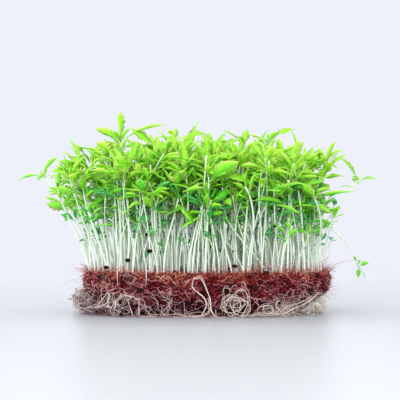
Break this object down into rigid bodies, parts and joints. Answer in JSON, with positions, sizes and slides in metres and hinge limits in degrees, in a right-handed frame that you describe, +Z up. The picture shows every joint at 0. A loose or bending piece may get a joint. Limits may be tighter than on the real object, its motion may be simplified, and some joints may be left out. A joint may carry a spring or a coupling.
{
  "type": "block of microgreens on a root mat",
  "caption": "Free-standing block of young cress seedlings on a felted fibre mat, with stems, leaf crowns, matted roots and seed coats.",
  "frame": {"origin": "middle of the root mat's flat resting face", "axes": "+X along the block's long side towards its raked end, -Y to its front, where the roots curl out, +Z up along the stems"},
  "size_m": [0.162, 0.0848, 0.0892],
  "materials": {
    "leaf": "fresh yellow-green leaf, slightly glossy, thin enough to let light through",
    "stem": "pale green-white, moist and translucent",
    "mat": "felted red-brown fibre",
    "root_mat": "dark felted fibre grown through by fine whitish-pink roots",
    "loose_roots": "curled grey-tan roots",
    "front_roots": "smooth moist cream root",
    "seed_coat": "dark brown, dry, slightly glossy"
  },
  "bodies": {
    "root": {"growing_mat": "mat", "root_mat": "root_mat", "root_bundle_left": "loose_roots", "root_bundle_right": "loose_roots", "root_loop": "front_roots", "root_fork": "front_roots", "root_coil": "front_roots", "seed_coat_left": "seed_coat", "seed_coat_centre": "seed_coat", "seed_coat_right": "seed_coat", "seed_coat_back": "seed_coat", "far_left_stem": "stem", "low_left_stem": "stem", "left_stem": "stem", "upper_left_stem": "stem", "tallest_stem": "stem", "front_left_stem": "stem", "front_whorl_stem": "stem", "centre_left_stem": "stem", "front_pale_stem": "stem", "centre_whorl_stem": "stem", "top_centre_stem": "stem", "top_back_stem": "stem", "top_right_centre_stem": "stem", "top_right_stem": "stem", "right_upright_stem": "stem", "right_stem": "stem", "far_right_stem": "stem", "right_stray_stem": "stem", "low_right_stem": "stem", "front_broad_stem": "stem", "front_right_stem": "stem", "hanging_right_stem": "stem", "back_left_stem": "stem", "back_right_stem": "stem", "far_left_leaves": "leaf", "low_left_leaves": "leaf", "left_leaves": "leaf", "upper_left_leaves": "leaf", "tallest_leaves": "leaf", "front_left_leaves": "leaf", "front_whorl_leaves": "leaf", "centre_left_leaves": "leaf", "front_pale_leaves": "leaf", "centre_whorl_leaves": "leaf", "top_centre_leaves": "leaf", "top_back_leaves": "leaf", "top_right_centre_leaves": "leaf", "top_right_leaves": "leaf", "right_upright_leaves": "leaf", "right_leaves": "leaf", "far_right_leaves": "leaf", "right_stray_leaves": "leaf", "low_right_leaves": "leaf", "front_broad_leaves": "leaf", "front_right_leaves": "leaf", "hanging_right_leaves": "leaf", "back_left_leaves": "leaf", "back_right_leaves": "leaf"}
  },
  "joints": []
}
